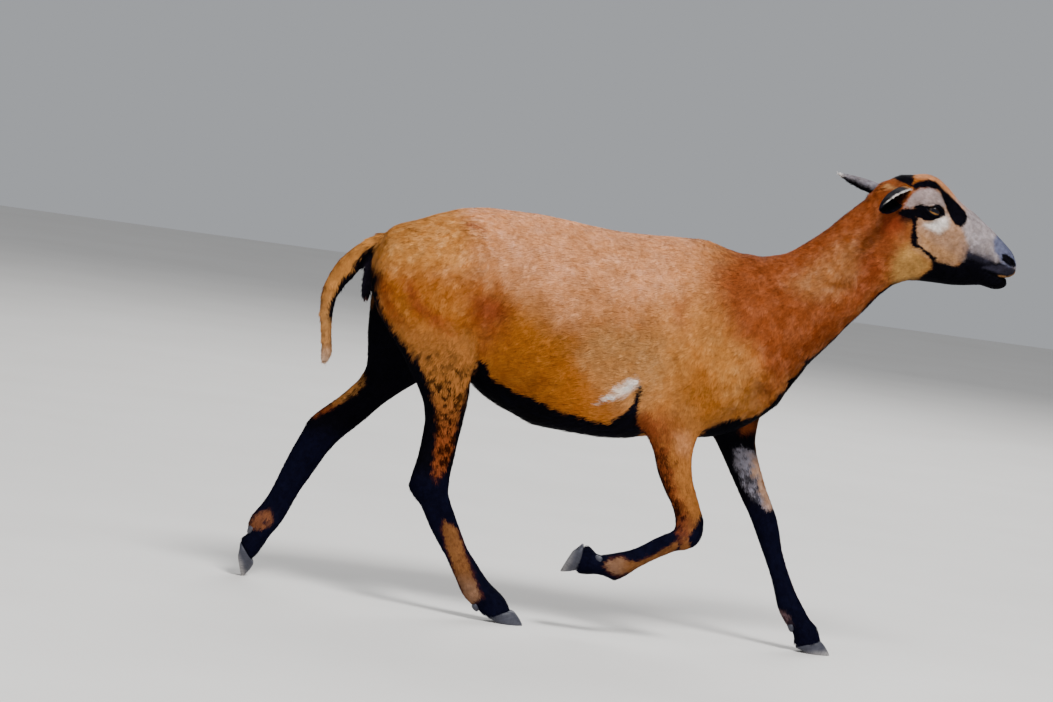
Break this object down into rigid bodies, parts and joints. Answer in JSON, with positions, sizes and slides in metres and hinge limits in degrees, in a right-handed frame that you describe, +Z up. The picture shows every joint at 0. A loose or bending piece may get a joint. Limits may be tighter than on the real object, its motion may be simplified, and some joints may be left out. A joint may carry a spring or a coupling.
{
  "type": "cameroon hair sheep ewe, life-size still model",
  "caption": "Life-size still model of a short-haired brown hair sheep ewe at the trot, with black belly, legs and face stripes, no horns.",
  "frame": {"origin": "middle of the animal's length, on its midline, at the floor", "axes": "+X the way the animal runs, from tail to muzzle; +Y its left side; +Z up"},
  "size_m": [1.0892, 0.2481, 0.7348],
  "materials": {
    "brown_coat": "short flat chestnut hair",
    "face_coat": "very short tan and grey hair with black stripes",
    "black_coat": "short black hair with a soft sheen",
    "leg_coat": "short black hair striped with brown",
    "ear_coat": "thin grey-black hair with a pale rim",
    "eye": "wet dark brown with a level slot pupil",
    "horn": "grey horn with growth rings, paler at the tip"
  },
  "bodies": {
    "root": {"trunk": "brown_coat", "neck": "brown_coat", "tail": "brown_coat", "head": "face_coat", "lower_jaw": "black_coat", "eye_left": "eye", "eye_right": "eye", "ear_left": "ear_coat", "ear_right": "ear_coat", "left_hind_thigh": "brown_coat", "left_hind_gaskin": "leg_coat", "left_hind_cannon": "leg_coat", "left_hind_pastern": "black_coat", "left_hind_hoof_outer": "horn", "left_hind_dewclaw_outer": "horn", "left_hind_hoof_inner": "horn", "left_hind_dewclaw_inner": "horn", "right_hind_thigh": "brown_coat", "right_hind_gaskin": "leg_coat", "right_hind_cannon": "leg_coat", "right_hind_pastern": "black_coat", "right_hind_hoof_outer": "horn", "right_hind_dewclaw_outer": "horn", "right_hind_hoof_inner": "horn", "right_hind_dewclaw_inner": "horn", "left_fore_shoulder": "brown_coat", "left_fore_forearm": "leg_coat", "left_fore_cannon": "leg_coat", "left_fore_pastern": "black_coat", "left_fore_hoof_outer": "horn", "left_fore_dewclaw_outer": "horn", "left_fore_hoof_inner": "horn", "left_fore_dewclaw_inner": "horn", "right_fore_shoulder": "brown_coat", "right_fore_forearm": "leg_coat", "right_fore_cannon": "leg_coat", "right_fore_pastern": "black_coat", "right_fore_hoof_outer": "horn", "right_fore_dewclaw_outer": "horn", "right_fore_hoof_inner": "horn", "right_fore_dewclaw_inner": "horn"}
  },
  "joints": []
}
